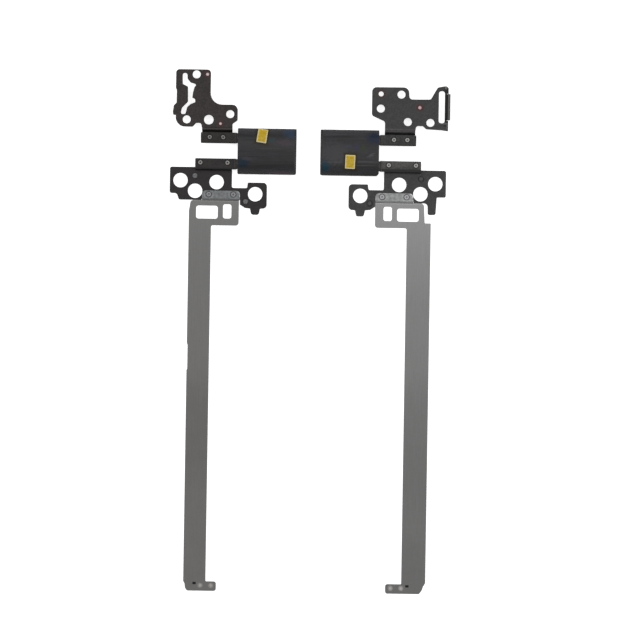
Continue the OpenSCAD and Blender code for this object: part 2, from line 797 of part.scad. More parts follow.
// Screen bracket: a seat under the leaf, bent down to a flat plate with a lobe at its inner end
module display_bracket(edge, shade) {
    plate = concat([
        [display_out, plate_top, 0.8],
        [display_seat_out + seat_relief, plate_top, 0],
        [display_seat_out + seat_relief, jog_foot, 0],
        [seat_in, jog_foot, 0],
        [seat_in, bay_y, 0.7],
        [bay_in, bay_y, 0.5],
        [bay_in - 0.3, lobe_top, 0.3],
        [lobe_in, lobe_top, 1.5],
        [lobe_in, lobe_bottom, 1.5],
        [tongue[0], lobe_bottom - 0.2, 0.4],
        [tongue[0] + 0.4, tongue_end, 1],
        [tongue[1] - 0.5, tongue_end, 1],
        [tongue[1], lobe_bottom - 0.15, 0.4],
        [tongue[1] + 2, lobe_bottom, 0.8],
        [tab_x[0], lobe_bottom + 1.3, 0.4],
        [tab_x[0], strip_jog[0] + tab_relief, 0],
        [tab_x[1], strip_jog[0] + tab_relief, 0],
        [tab_x[1] + 0.25, outer_foot, 0]
    ], edge);
    color(shade) translate([0, display_y, 0]) difference() {
        union() {
            linear_extrude(sheet_t) polygon(rounded(plate));
            bent_sheet([
                [seat_in, seat_lap, 0],
                [display_seat_out, seat_lap, 0],
                [display_seat_out, jog_foot - eps, 0],
                [seat_in, jog_foot - eps, 0]
            ], sheet_section([
                [seat_lap + 1, seat_bottom + sheet_t / 2],
                [display_jog[0], seat_bottom + sheet_t / 2],
                [display_jog[1], sheet_t / 2],
                [display_jog[1] - 2, sheet_t / 2]
            ], sheet_t, bend_r));
        }
        for (h = large_holes)
            translate([h.x, h.y, -1]) cylinder(d = large_hole_d, h = sheet_t + 2);
        for (p = pins_at)
            translate([p.x, p.y, -1]) cylinder(d = pin_nose_d + fit_gap, h = sheet_t + 2);
        for (p = strip_rivets_at)
            translate([p.x, p.y, -1]) cylinder(d = rivet_d + fit_gap, h = sheet_t + 2);
        leaf_rivet_holes(display_rivets_at);
    }
}

// Collared pins pressed through a screen bracket, to find its place in the lid
module locating_pins() {
    color([0.4, 0.39, 0.39]) translate([0, display_y, 0])
        for (p = pins_at)
            translate([p.x, p.y, 0]) {
                cylinder(d = pin_nose_d, h = sheet_t + pin_h - pin_tip);
                translate([0, 0, sheet_t]) cylinder(d = pin_d, h = pin_collar_h);
                translate([0, 0, sheet_t + pin_h - pin_tip])
                    cylinder(d1 = pin_nose_d, d2 = pin_nose_d - 2 * pin_tip, h = pin_tip);
            }
}

// Long steel strip: a tab on the bracket, a head with two windows, a body and a foot. Its outer
// edge is given from the head down: the shoulder, the waist and the cut at the foot
module display_strip(out, width, head_in, shoulder, waist, foot_reach, foot_cut) {
    in = out - width;
    foot_in = in - foot_reach;
    foot_at = -strip_reach + foot_len;
    translate([0, display_y, 0]) difference() {
        bent_sheet(concat([
            [tab_x[0], tab_top, 1.6],
            [tab_x[1], tab_top, 1.6],
            [tab_x[1], head_top, 0.2]
        ], shoulder, waist, [
            for (p = foot_cut) [out - p.x, -strip_reach + p.y, p.z]
        ], [
            [foot_in, -strip_reach, 0.9],
            [foot_in, foot_at, 0.9],
            [in, foot_at, 0.3],
            [in, head_end, 0.7],
            [head_in, head_end, 1.2],
            [head_in, head_top + 0.1, 0.2],
            [tab_x[0], head_top + 0.3, 0]
        ]), sheet_section([
            [tab_top + 1, sheet_t + strip_t / 2],
            [strip_jog[0], sheet_t + strip_t / 2],
            [strip_jog[1], strip_t / 2],
            [-strip_reach - 1, strip_t / 2]
        ], strip_t, strip_bend_r));
        for (p = strip_rivets_at)
            translate([p.x, p.y, 0]) cylinder(d = rivet_d + fit_gap, h = 3);
        for (w = windows)
            translate([tab_x[0], head_top, -1]) window(w);
        translate([foot_in, foot_at, mark_floor]) window(mark);
        for (x = foot_holes_x)
            translate([foot_in + x, foot_at + foot_holes_y, -1]) cylinder(d = foot_hole_d, h = 3);
    }
}

// Rectangular opening in a strip, given as [x, y, width, height, corner radius]
module window(w) {
    translate([w[0], w[1], 0]) linear_extrude(3)
        polygon(rounded([[0, 0, w[4]], [w[2], 0, w[4]], [w[2], w[3], w[4]], [0, w[3], w[4]]]));
}

// Slightly waisted on its outer edge, about half way down
module left_strip() {
    out = left_strip_out;
    waist = [-0.48 * strip_reach, -0.42 * strip_reach];
    color([0.42, 0.42, 0.41]) display_strip(
        out, left_strip_w, tab_x[0] + 0.4,
        [[out - 0.7, head_top, 1.3], [out, head_top - 4.3, 2]],
        [
            [out, waist[1], 0.3],
            [out - 0.3, waist[1] - 0.6, 0.3],
            [out - 0.3, waist[0], 0.3],
            [out, waist[0] - 0.6, 0.3]
        ],
        left_foot_reach,
        [[0, 3.8, 0.3], [0.55, 2.9, 0.3], [0.75, 1.2, 0.5], [1.5, 0, 0.8]]
    );
}

module right_strip() {
    out = right_strip_out;
    color([0.54, 0.54, 0.54]) display_strip(
        out, right_strip_w, tab_x[0],
        [[out - 2.9, head_top, 1.3], [out - 2.45, step_end, 0.3], [out, step_end, 0.2]],
        [],
        right_foot_reach,
        [[0, 4.4, 0.3], [0.85, 3, 0.5], [1.3, 1.6, 0.8], [2.4, 0, 0.8]]
    );
}

// Rivets that hold a strip's tab on its bracket
module strip_rivets() {
    color([0.5, 0.5, 0.5]) translate([0, display_y, 0])
        for (p = strip_rivets_at)
            translate([p.x, p.y, 0]) {
                cylinder(d = rivet_d, h = sheet_t + strip_t + eps);
                translate([0, 0, sheet_t + strip_t]) spun_head(strip_rivet_d);
            }
}

// Phases that put every gear in mesh: a tooth on its -Y side, a gap on its +Y side
base_phase = 180;
idler_a_phase = 180 / idler_teeth;
idler_b_phase = idler_teeth % 2 == 1 ? 180 / idler_teeth : 0;
display_phase = 180 / shaft_teeth;

on_left() cover(0.3);  // left_cover
on_left() film();  // left_film
on_left() tape_tab(left_tape_at, left_tape_turn);  // left_tape_tab
on_left() mouth_plate();  // left_mouth_plate
on_left() inner_plate();  // left_inner_plate
on_left() friction_plate();  // left_friction_plate
on_left() base_shaft();  // left_base_shaft
on_left() display_shaft();  // left_display_shaft
on_left() shaft_gear(base_y, base_phase);  // left_base_gear
on_left() shaft_gear(display_y, display_phase);  // left_display_gear
on_left() idler_gear(idler_y, idler_a_phase);  // left_idler_gear_a
on_left() idler_gear(-idler_y, idler_b_phase);  // left_idler_gear_b
on_left() stop_disc(base_y);  // left_base_stop_disc
on_left() stop_disc(display_y);  // left_display_stop_disc
on_left() friction_washers(base_y);  // left_base_friction_washers
on_left() friction_washers(display_y);  // left_display_friction_washers
on_left() disc_springs(base_y);  // left_base_disc_springs
on_left() disc_springs(display_y);  // left_display_disc_springs
on_left() shaft_nut(base_y);  // left_base_nut
on_left() shaft_nut(display_y);  // left_display_nut
on_left() left_base_bracket();
on_left() display_bracket(plain_edge, left_black);  // left_display_bracket
on_left() left_strip();  // left_display_strip
on_left() leaf_rivets(base_y, base_rivets_at);  // left_base_rivets
on_left() leaf_rivets(display_y, display_rivets_at);  // left_display_rivets
on_left() strip_rivets();  // left_strip_rivets
on_left() locating_pins();  // left_locating_pins
on_right() cover(corner_cut);  // right_cover
on_right() film();  // right_film
on_right() tape_tab(right_tape_at, right_tape_turn);  // right_tape_tab
on_right() mouth_plate();  // right_mouth_plate
on_right() inner_plate();  // right_inner_plate
on_right() friction_plate();  // right_friction_plate
on_right() base_shaft();  // right_base_shaft
on_right() display_shaft();  // right_display_shaft
on_right() shaft_gear(base_y, base_phase);  // right_base_gear
on_right() shaft_gear(display_y, display_phase);  // right_display_gear
on_right() idler_gear(idler_y, idler_a_phase);  // right_idler_gear_a
on_right() idler_gear(-idler_y, idler_b_phase);  // right_idler_gear_b
on_right() stop_disc(base_y);  // right_base_stop_disc
on_right() stop_disc(display_y);  // right_display_stop_disc
on_right() friction_washers(base_y);  // right_base_friction_washers
on_right() friction_washers(display_y);  // right_display_friction_washers
on_right() disc_springs(base_y);  // right_base_disc_springs
on_right() disc_springs(display_y);  // right_display_disc_springs
on_right() shaft_nut(base_y);  // right_base_nut
on_right() shaft_nut(display_y);  // right_display_nut
on_right() right_base_bracket();
on_right() display_bracket(leg_edge, right_black);  // right_display_bracket
on_right() right_strip();  // right_display_strip
on_right() leaf_rivets(base_y, base_rivets_at);  // right_base_rivets
on_right() leaf_rivets(display_y, display_rivets_at);  // right_display_rivets
on_right() strip_rivets();  // right_strip_rivets
on_right() locating_pins();  // right_locating_pins
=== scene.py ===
import json
import math

import bmesh
import bpy
from mathutils import Matrix, Vector


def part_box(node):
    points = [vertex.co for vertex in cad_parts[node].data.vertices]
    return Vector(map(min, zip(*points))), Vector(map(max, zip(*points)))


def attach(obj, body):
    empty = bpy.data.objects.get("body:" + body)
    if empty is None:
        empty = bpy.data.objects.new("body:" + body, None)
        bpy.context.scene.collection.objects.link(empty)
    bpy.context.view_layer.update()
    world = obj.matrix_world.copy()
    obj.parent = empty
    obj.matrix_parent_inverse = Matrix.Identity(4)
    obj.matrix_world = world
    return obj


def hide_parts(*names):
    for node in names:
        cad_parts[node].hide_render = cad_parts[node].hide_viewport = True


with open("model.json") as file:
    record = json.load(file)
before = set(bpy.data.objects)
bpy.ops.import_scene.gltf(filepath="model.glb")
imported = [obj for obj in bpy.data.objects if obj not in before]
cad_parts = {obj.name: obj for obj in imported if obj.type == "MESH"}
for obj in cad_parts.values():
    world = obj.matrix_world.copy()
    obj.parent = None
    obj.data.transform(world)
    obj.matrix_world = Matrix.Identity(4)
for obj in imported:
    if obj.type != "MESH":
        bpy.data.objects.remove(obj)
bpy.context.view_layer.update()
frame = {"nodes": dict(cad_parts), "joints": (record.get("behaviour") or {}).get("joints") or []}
print("frame loaded")

mm = 0.001
sides = {"left": -1, "right": 1}  # which way each hinge points from its cover


def fillRamp(ramp, stops):  # stops of place and grey shade
    marks = ramp.elements
    for number, (place, shade) in enumerate(stops):
        mark = marks[number] if number < 2 else marks.new(place)
        mark.position = place
        mark.color = (shade, shade, shade, 1)


class Value:  # a node's output, ready for plain arithmetic
    def __init__(self, finish, socket):
        self.finish = finish
        self.socket = socket

    def sum(self, operation, first, second=0.0):
        return self.finish.node("Math", {"operation": operation}, {0: first, 1: second})

    def __add__(self, other):
        return self.sum("ADD", self, other)

    def __radd__(self, other):
        return self.sum("ADD", other, self)

    def __sub__(self, other):
        return self.sum("SUBTRACT", self, other)

    def __rsub__(self, other):
        return self.sum("SUBTRACT", other, self)

    def __mul__(self, other):
        return self.sum("MULTIPLY", self, other)

    def __rmul__(self, other):
        return self.sum("MULTIPLY", other, self)

    def __truediv__(self, other):
        return self.sum("DIVIDE", self, other)

    def __pow__(self, other):
        return self.sum("POWER", self, other)

    def __abs__(self):
        return self.sum("ABSOLUTE", self)

    def atLeast(self, other):
        return self.sum("MAXIMUM", self, other)

    def atMost(self, other):
        return self.sum("MINIMUM", self, other)


class Finish:  # one material, built node by node
    def __init__(self, name):
        self.material = bpy.data.materials.new(name)
        self.openTree(self.material)
        self.place = self.scaled(self.node("TexCoord", out="Object"), (1 / mm, 1 / mm, 1 / mm))

    def openTree(self, owner):
        owner.use_nodes = True
        self.tree = owner.node_tree
        self.tree.nodes.clear()

    def node(self, kind, settings=None, sockets=None, out=0):
        made = self.tree.nodes.new("ShaderNode" + kind)
        for name, value in (settings or {}).items():
            if name == "stops":
                fillRamp(made.color_ramp, value)
            else:
                setattr(made, name, value)
        for key, value in (sockets or {}).items():
            self.feed(made.inputs[key], value)
        return Value(self, made.outputs[out]) if made.outputs else None

    def feed(self, socket, value):
        if isinstance(value, Value):
            self.tree.links.new(value.socket, socket)
        elif isinstance(value, (tuple, list)) and len(value) < len(socket.default_value):
            socket.default_value = (*value, 1)
        else:
            socket.default_value = value

    def scaled(self, vector, by):
        return self.node("VectorMath", {"operation": "MULTIPLY"}, {0: vector, 1: by})

    def moved(self, vector, by):
        return self.node("VectorMath", {"operation": "ADD"}, {0: vector, 1: by})

    def axis(self, name, vector=None):
        return self.node("SeparateXYZ", sockets={0: vector or self.place}, out=name)

    def noise(self, size, detail=2, rough=0.5, stretch=(1, 1, 1), twist=0.0, seed=0.0):
        # size is the width of a patch in millimetres
        spot = self.moved(self.scaled(self.place, stretch), (seed * 31.7, seed * 17.3, seed * 5.9))
        return self.node(
            "TexNoise",
            sockets={
                "Vector": spot,
                "Scale": 1 / size,
                "Detail": detail,
                "Roughness": rough,
                "Distortion": twist,
            },
        )

    def step(self, value, low, high):  # from 0 at low to 1 at high, smoothly
        return self.node(
            "MapRange",
            {"interpolation_type": "SMOOTHSTEP"},
            {"Value": value, "From Min": low, "From Max": high},
        )

    def mix(self, factor, first, second, way="MIX"):
        return self.node(
            "Mix",
            {"data_type": "RGBA", "blend_type": way},
            {0: factor, 6: first, 7: second},
            out=2,
        )

    def bump(self, height, depth, strength):  # depth in millimetres
        return self.node(
            "Bump",
            sockets={"Height": height, "Distance": depth * mm, "Strength": strength},
        )

    def ring(self, x, y):  # distance in millimetres from an upright line through x, y
        away = self.moved(self.scaled(self.place, (1, 1, 0)), (-x, -y, 0))
        return self.node("VectorMath", {"operation": "LENGTH"}, {0: away}, out="Value")

    def ramp(self, value, stops, low=0.0, high=1.0):  # grey that follows stops of place and shade
        stops = [((place - low) / (high - low), shade) for place, shade in stops]
        return self.node("ValToRGB", {"stops": stops}, {0: (value - low) / (high - low)})

    def grey(self, shade):
        return self.node("CombineColor", sockets={0: shade, 1: shade, 2: shade})

    def nearest(self, places):  # distance in millimetres from the nearest of some upright lines
        far = self.ring(*places[0])
        for place in places[1:]:
            far = far.atMost(self.ring(*place))
        return far

    def patch(self, x, y, halfX, halfY, soft, ragged):  # 1 inside an oval, 0 outside it
        spot = self.scaled(self.moved(self.place, (-x, -y, 0)), (1 / halfX, 1 / halfY, 0))
        far = self.node("VectorMath", {"operation": "LENGTH"}, {0: spot}, out="Value")
        far = far + (self.noise(1.1, 3, 0.6, seed=x) - 0.5) * ragged
        return 1 - self.step(far, 1 - soft, 1 + soft)

    def close(self, sockets):
        shader = self.node("BsdfPrincipled", sockets=sockets)
        self.node("OutputMaterial", sockets={"Surface": shader})
        return self.material


class Backdrop(Finish):  # the light all round, built the same way
    def __init__(self, name):
        self.world = bpy.data.worlds.new(name)
        self.openTree(self.world)


def boxOf(node):  # corners of a piece, in millimetres
    low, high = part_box(node)
    return low / mm, high / mm


def axisOf(side, half):  # y and z of a shaft, in millimetres
    for joint in frame["joints"]:
        if joint["name"] == side + "_" + half + "_fold":
            return joint["pos_m"][1] / mm, joint["pos_m"][2] / mm


def mouthOf(side):  # x of a cover's mouth and y of its middle, in millimetres
    low, high = boxOf(side + "_cover")
    return low.x if side == "left" else high.x, (low.y + high.y) / 2


def fromOuter(side, node, inward):  # x at a distance in from a piece's outer edge
    low, high = boxOf(node)
    return low.x + inward if side == "left" else high.x - inward


def pairOf(node, radius=None):  # centres of two round pieces: the outer, upper one comes first
    low, high = boxOf(node)
    radius = radius or (high.y - low.y) / 2
    if node.startswith("left"):
        return [(low.x + radius, high.y - radius), (high.x - radius, low.y + radius)]
    return [(high.x - radius, high.y - radius), (low.x + radius, low.y + radius)]


def link(name, data):  # puts a new object in the scene
    piece = bpy.data.objects.new(name, data)
    bpy.context.scene.collection.objects.link(piece)
    return piece


weldReach = 0.002  # millimetres
roundedAngle = 32  # edges that turn by more than this many degrees are rounded


def dress(names, material, bevel, edge=None):
    for name in names:
        piece = frame["nodes"][name]
        piece.data.materials.clear()
        piece.data.materials.append(material)
        if edge:
            piece.data.materials.append(edge)
        weld = piece.modifiers.new("weld", "WELD")
        weld.merge_threshold = weldReach * mm
        rounding = piece.modifiers.new("rounding", "BEVEL")
        rounding.width = bevel * mm
        rounding.segments = 2
        rounding.limit_method = "ANGLE"
        rounding.angle_limit = math.radians(roundedAngle)
        rounding.harden_normals = True
        if edge:
            rounding.material = 1


def bothSides(*names):
    return [side + "_" + name for side in sides for name in names]


blackCoat = {  # for each piece, the dark and the light tone
    "left_base_bracket": ((0.0170, 0.0122, 0.0120), (0.0420, 0.0332, 0.0322)),
    "left_display_bracket": ((0.0115, 0.0088, 0.0092), (0.0270, 0.0226, 0.0226)),
    "left_base_shaft": ((0.0080, 0.0056, 0.0050), (0.0290, 0.0234, 0.0226)),
    "left_display_shaft": ((0.0080, 0.0056, 0.0056), (0.0300, 0.0250, 0.0246)),
    "right_base_bracket": ((0.0310, 0.0298, 0.0302), (0.0560, 0.0538, 0.0544)),
    "right_display_bracket": ((0.0320, 0.0311, 0.0314), (0.0590, 0.0576, 0.0580)),
    "right_base_shaft": ((0.0180, 0.0172, 0.0172), (0.0520, 0.0500, 0.0500)),
    "right_display_shaft": ((0.0300, 0.0290, 0.0278), (0.0760, 0.0744, 0.0720)),
    "blotch": 3.2,  # millimetres across, as the next two
    "speck": 0.8,
    "grain": 0.11,
    "contrast": (0.40, 0.60),
    "roughness": (0.48, 0.64),
    "scuff": (0.16, 0.15, 0.145),
    # tone of the painted shade round rivets and pins
    "rivetShade": (0.003, 0.003, 0.003),
    "rivetShadeRing": (0.95, 1.5),  # where painted shade round a rivet or pin fades, from its middle
    "ink": (0.075, 0.010, 0.012),
    "inkRing": (0.3, 1.3),  # beyond the edge of a marked hole
    "metallic": 0.2,
    "bevel": 0.1,
    "edge": (0.17, 0.16, 0.155),
    "edgeWear": 0.02,
    "neck": (-1, 1.15),  # painted light on a shaft's neck, against the shade of the cover's mouth, from the mouth outward
    "foot": (-1, 0.5),  # painted shade along a leaf's lower edge, from that edge upward
    "wideFoot": (-1, 1.1),
    # a lighter band along one leaf's middle, up from its lower edge
    "middleBand": (2, 5),
}


def blackSteel(name, heads=(), inked=(), marks=()):
    coat = blackCoat
    dark, light = coat[name]
    skin = Finish(name + "_black")
    blotches = skin.noise(coat["blotch"], 4, 0.6, seed=len(name))
    fine = skin.noise(coat["speck"], 3, 0.7, seed=9)
    grain = skin.noise(coat["grain"], 2, 0.5)
    shade = skin.step(blotches * 0.35 + fine * 0.65, *coat["contrast"])
    colour = skin.mix(shade, dark, light)
    scratch = skin.step(skin.noise(0.16, 2, 0.6, (1, 0.06, 1), 0.3, 4), 0.70, 0.76)
    wearAndPaintedLight = scratch * skin.step(skin.noise(6, 1, 0.5, seed=3), 0.56, 0.7) * 0.35
    for mark, amount in marks:  # places made lighter, or darker where the amount is negative: mostly painted highlights and painted shade, a few of them scuffs
        if amount > 0:
            wearAndPaintedLight = wearAndPaintedLight.atLeast(mark(skin) * (fine + 0.5) * amount)
        else:
            colour = skin.mix(mark(skin) * -amount, colour, [c * 0.2 for c in dark])
    # scratches, and the lighter marks, most of them painted highlights, take the scuff tone
    colour = skin.mix(wearAndPaintedLight, colour, coat["scuff"])
    if heads:  # painted shade round the rivets' heads, or round the pins
        far = skin.nearest(heads) + (fine - 0.5) * 0.3
        colour = skin.mix((1 - skin.step(far, *coat["rivetShadeRing"])) * 0.8, colour, coat["rivetShade"])
    for x, y, radius, strength in inked:  # red ink wiped round a small hole
        far = skin.ring(x, y) + (skin.noise(0.9, 2, 0.5) - 0.5) * 0.8
        wash = 1 - skin.step(far, *(radius + reach for reach in coat["inkRing"]))
        colour = skin.mix(wash * strength, colour, coat["ink"])
    low, high = coat["roughness"]
    return skin.close({
        "Base Color": colour,
        "Roughness": blotches * (high - low) + low - wearAndPaintedLight * 0.15 + (fine - 0.5) * 0.3,
        "Metallic": coat["metallic"],
        "Normal": skin.bump(grain + fine * 0.6, 0.012, 0.6),
        "Specular IOR Level": 0.35,
    })


def band(axis, low, high, soft):  # a mark between two places along an axis, in millimetres
    middle, half = (low + high) / 2, (high - low) / 2

    def mark(skin):
        return 1 - skin.step(abs(skin.axis(axis) - middle), half - soft / 2, half + soft / 2)

    return mark


def wornEdge(name, body, bright, amount):  # rounded edges, bright where they are rubbed
    skin = Finish(name)
    rubbed = skin.step(skin.noise(1.4, 4, 0.65, seed=6), 0.62 - amount, 0.74 - amount)
    colour = skin.mix(rubbed, body, bright)
    return skin.close({
        "Base Color": colour,
        "Roughness": 0.5 - rubbed * 0.16,
        "Metallic": 0.55 + rubbed * 0.4,
        "Normal": skin.bump(skin.noise(0.12, 2, 0.5), 0.01, 0.5),
    })


rolled = {  # sheen goes from the foot, 0, to the top of the tab, 1; the sheen is painted light along the strip, and so, in part, is the change from the foot's tone to the top's
    "left": {
        "top": (0.158, 0.157, 0.155),
        "foot": (0.136, 0.132, 0.129),
        "tab": (0.146, 0.152, 0.155),
        "sheen": [
            (0.1, 0.96), (0.25, 0.92), (0.33, 0.83), (0.47, 0.81),
            (0.56, 0.91), (0.85, 0.86), (0.97, 0.91),
        ],
    },
    "right": {
        "top": (0.238, 0.238, 0.238),
        "foot": (0.140, 0.138, 0.136),
        "tab": (0.232, 0.235, 0.235),
        "sheen": [
            (0.06, 0.90), (0.17, 0.94), (0.27, 0.86), (0.47, 0.84),
            (0.56, 0.92), (0.72, 0.87), (0.9, 0.91),
        ],
    },
    "roughness": (0.40, 0.56),
    "metallic": 0.7,
    "bright": 1.15,
    "bevel": 0.07,
    "edge": {"left": (0.11, 0.108, 0.106), "right": (0.20, 0.20, 0.20)},
    "edgeWear": 0.1,
    "tabDown": 3.6,  # the tab's foot, down from the strip's top
    "bendDown": 4.3,
    "end": {"left": -27.6, "right": 41.7},  # x of the tab's end, whose upper corner gets a painted highlight
    "corner": 1.6,
    "arc": 1.75,  # radius of the pressed rings round the tab's rivets, where a highlight is painted
    # painted shade round the tab's rivets: its tone, and where it fades from their middles
    "rivetShade": (0.060, 0.060, 0.062),
    "rivetShadeRing": (1.1, 1.5),
    "mark": {"left": 4.4, "right": 7.3},  # coined mark in the foot, painted near black as the shade in it, in from the strip's outer edge
    "markUp": 3.0,
    "markHalf": (0.74, 0.5),
    "markShadeTone": (0.002, 0.002, 0.002),
    "dots": {"left": (11.05, 6.8), "right": (13.95, 9.7)},  # bright dots in the foot, likewise
    "dotsUp": 2.2,
    "dotRing": (0.7, 1.2),  # where the paint of a dot thins out
    "dotTone": {"left": (0.50, 0.475, 0.45), "right": (0.56, 0.535, 0.52)},
}


def footDots(side):
    strip = side + "_display_strip"
    up = boxOf(strip)[0].y + rolled["dotsUp"]
    return [(fromOuter(side, strip, inward), up) for inward in rolled["dots"][side]]


def rolledSteel(side):
    sheet = rolled
    tone = sheet[side]
    low, high = boxOf(side + "_display_strip")
    skin = Finish(side + "RolledSteel")
    along = (skin.axis("Y") - low.y) / (high.y - low.y)
    mottle = skin.noise(5, 4, 0.6, seed=sides[side] + 5)
    fleck = skin.noise(0.9, 3, 0.6, seed=7)
    mill = skin.noise(0.5, 3, 0.6, (3.2, 0.05, 1), seed=2)  # rolling marks along the strip
    brush = skin.noise(0.5, 3, 0.6, (0.07, 3.4, 1), seed=1)  # brushing across the tab
    # painted light: the sheen, and in part the strip growing lighter towards its top
    sheen = skin.ramp(along, tone["sheen"])
    colour = skin.mix(along * along, tone["foot"], tone["top"])
    tabFoot = high.y - sheet["tabDown"]
    onTab = skin.step(skin.axis("Y"), tabFoot, tabFoot + 0.3)
    colour = skin.mix(onTab, colour, tone["tab"])
    lines = mill + (brush - mill) * onTab
    light = mottle * 0.3 + fleck * (onTab * 1.3 + 0.1) + lines * 0.3 - onTab * 0.65 + 0.65
    bendFoot = high.y - sheet["bendDown"]
    bend = skin.step(skin.axis("Y"), bendFoot, bendFoot + 0.2) * (1 - onTab)
    light = light + bend * 0.9  # painted highlight on the bend below the tab
    corner = sheet["corner"]
    out = (skin.axis("X") - sheet["end"][side] + corner).atLeast(0)
    up = (skin.axis("Y") - high.y + corner).atLeast(0)
    end = skin.step((out * out + up * up) ** 0.5, corner - 0.5, corner - 0.15)
    end = end * skin.step(out, 0.1, 0.5) * skin.step(fleck, 0.35, 0.6)
    rim = skin.nearest(pairOf(side + "_strip_rivets")) + (fleck - 0.5) * 0.3
    arc = 1 - skin.step(abs(rim - sheet["arc"]), 0.05, 0.35)
    # painted highlights on the tab: the upper corner of its end and rings round its rivets
    light = light + (end * 1.2 + arc * skin.step(mottle, 0.4, 0.6) * 0.25) * onTab
    light = light * sheen * sheet["bright"]
    colour = skin.mix(1.0, colour, skin.grey(light), "MULTIPLY")
    # painted shade round the tab's rivets
    colour = skin.mix((1 - skin.step(rim, *sheet["rivetShadeRing"])) * 0.6, colour, sheet["rivetShade"])
    markX = fromOuter(side, side + "_display_strip", sheet["mark"][side])
    spot = skin.moved(skin.place, (-markX, -low.y - sheet["markUp"], 0))
    halfX, halfY = sheet["markHalf"]
    inShadedMark = skin.step(halfX - abs(skin.axis("X", spot)), 0, 0.15)
    inShadedMark = inShadedMark * skin.step(halfY - abs(skin.axis("Y", spot)), 0, 0.15)
    # painted shade: the coined mark in the foot is painted near black
    colour = skin.mix(inShadedMark, colour, sheet["markShadeTone"])
    far = skin.nearest(footDots(side)) + (fleck - 0.5) * 0.6
    smear = 1 - skin.step(far, *sheet["dotRing"])
    colour = skin.mix(smear * 0.4, colour, sheet["dotTone"][side])
    smooth, coarse = sheet["roughness"]
    return skin.close({
        "Base Color": colour,
        "Roughness": smooth + (coarse - smooth) * mottle,
        "Metallic": sheet["metallic"] - inShadedMark * sheet["metallic"],
        "Specular IOR Level": 0.2,
        "Normal": skin.bump(lines, 0.006, 0.5),
    })


turned = {
    "gearSteel": {"tone": (0.36, 0.35, 0.33), "roughness": 0.3, "oil": 0.10},
    "plateSteel": {"tone": (0.30, 0.30, 0.31), "roughness": 0.42, "oil": 0.0},
    "springSteel": {"tone": (0.27, 0.265, 0.27), "roughness": 0.28, "oil": 0.06},
    "bronze": {"tone": (0.50, 0.33, 0.14), "roughness": 0.36, "oil": 0.08},
}
insidePieces = {  # pieces of each hinge, their steel and how far their edges are rounded
    "plateSteel": [(("mouth_plate", "inner_plate", "friction_plate"), 0.06)],
    "gearSteel": [
        (("base_gear", "display_gear", "idler_gear_a", "idler_gear_b"), 0.03),
        (("base_stop_disc", "display_stop_disc"), 0.05),
    ],
    "bronze": [(("base_friction_washers", "display_friction_washers"), 0.04)],
    "springSteel": [
        (("base_disc_springs", "display_disc_springs"), 0.03),
        (("base_nut", "display_nut"), 0.1),
    ],
}


def plainSteel(name):  # turned, stamped or coined small pieces
    look = turned[name]
    skin = Finish(name)
    oil = skin.noise(1.3, 4, 0.6)
    grain = skin.noise(0.09, 2, 0.5)
    colour = skin.mix(skin.step(oil, 0.35, 0.7), look["tone"], [c * 0.72 for c in look["tone"]])
    return skin.close({
        "Base Color": colour,
        "Roughness": look["roughness"] + (oil - 0.5) * 0.25,
        "Metallic": 0.9,
        "Normal": skin.bump(grain + oil * look["oil"], 0.008, 0.5),
    })


# Heads, with highlight and shade painted on as seen from above: tone of the ring, of the middle
# and of the rim, whose dark tone is a painted shadow line, then the radii at which the middle ends
# and the rim begins
headLook = {
    "left_base_rivets": {"ring": 0.150, "middle": 0.085, "rim": 0.03, "radii": (0.34, 0.80)},
    "left_display_rivets": {"ring": 0.200, "middle": 0.085, "rim": 0.03, "radii": (0.36, 0.86)},
    "right_base_rivets": {"ring": 0.235, "middle": 0.170, "rim": 0.05, "radii": (0.34, 0.86)},
    "right_display_rivets": {"ring": 0.250, "middle": 0.200, "rim": 0.05, "radii": (0.30, 0.86)},
    "left_strip_rivets": {"ring": 0.176, "middle": 0.21, "rim": 0.13, "radii": (0.36, 0.92)},
    "right_strip_rivets": {"ring": 0.272, "middle": 0.31, "rim": 0.185, "radii": (0.40, 0.92)},
    "left_locating_pins": {"ring": 0.135, "middle": 0.075, "rim": 0.02, "radii": (0.38, 0.94)},
    "right_locating_pins": {"ring": 0.058, "middle": 0.050, "rim": 0.01, "radii": (0.38, 0.90)},
    "pinRadius": 1.1,
    "bevel": 0.06,
    "tint": (1.0, 0.975, 0.955),
    "tabTint": (0.99, 0.98, 1.02),
}


def headSteel(node):
    look = headLook[node]
    skin = Finish(node + "_steel")
    far = skin.nearest(pairOf(node, headLook["pinRadius"] if node.endswith("pins") else None))
    smear = skin.noise(0.7, 3, 0.6, (1, 0.6, 1), seed=7)
    far = far + (smear - 0.5) * 0.3
    inner, outer = look["radii"]
    tint = headLook["tint" if "_base_" in node or "_display_" in node else "tabTint"]
    tones = {key: [look[key] * c for c in tint] for key in ("ring", "middle", "rim")}
    # painted highlight and shade across the head, with a painted shadow line at its rim
    colour = skin.mix(skin.step(far, inner - 0.1, inner + 0.12), tones["middle"], tones["ring"])
    colour = skin.mix(skin.step(far, outer - 0.08, outer + 0.1), colour, tones["rim"])
    colour = skin.mix(skin.step(smear, 0.5, 0.75) * 0.4, colour, tones["middle"])
    return skin.close({
        "Base Color": colour,
        "Roughness": 0.4 + (smear - 0.5) * 0.3,
        "Metallic": 0.85,
        "Normal": skin.bump(skin.noise(0.1, 2, 0.5), 0.006, 0.5),
    })


coverLook = {
    "dark": (0.024, 0.024, 0.026),
    "light": (0.034, 0.034, 0.036),
    "roughness": 0.5,
    "bevel": 0.12,
}


def coverPlastic():
    look = coverLook
    skin = Finish("coverPlastic")
    cloud = skin.noise(4, 3, 0.6)
    spark = skin.noise(0.14, 2, 0.5)  # moulded texture
    colour = skin.mix(skin.step(cloud, 0.35, 0.65), look["dark"], look["light"])
    return skin.close({
        "Base Color": colour,
        "Roughness": look["roughness"] + (cloud - 0.5) * 0.15,
        "Normal": skin.bump(spark, 0.015, 0.6),
        "Specular IOR Level": 0.25,
    })
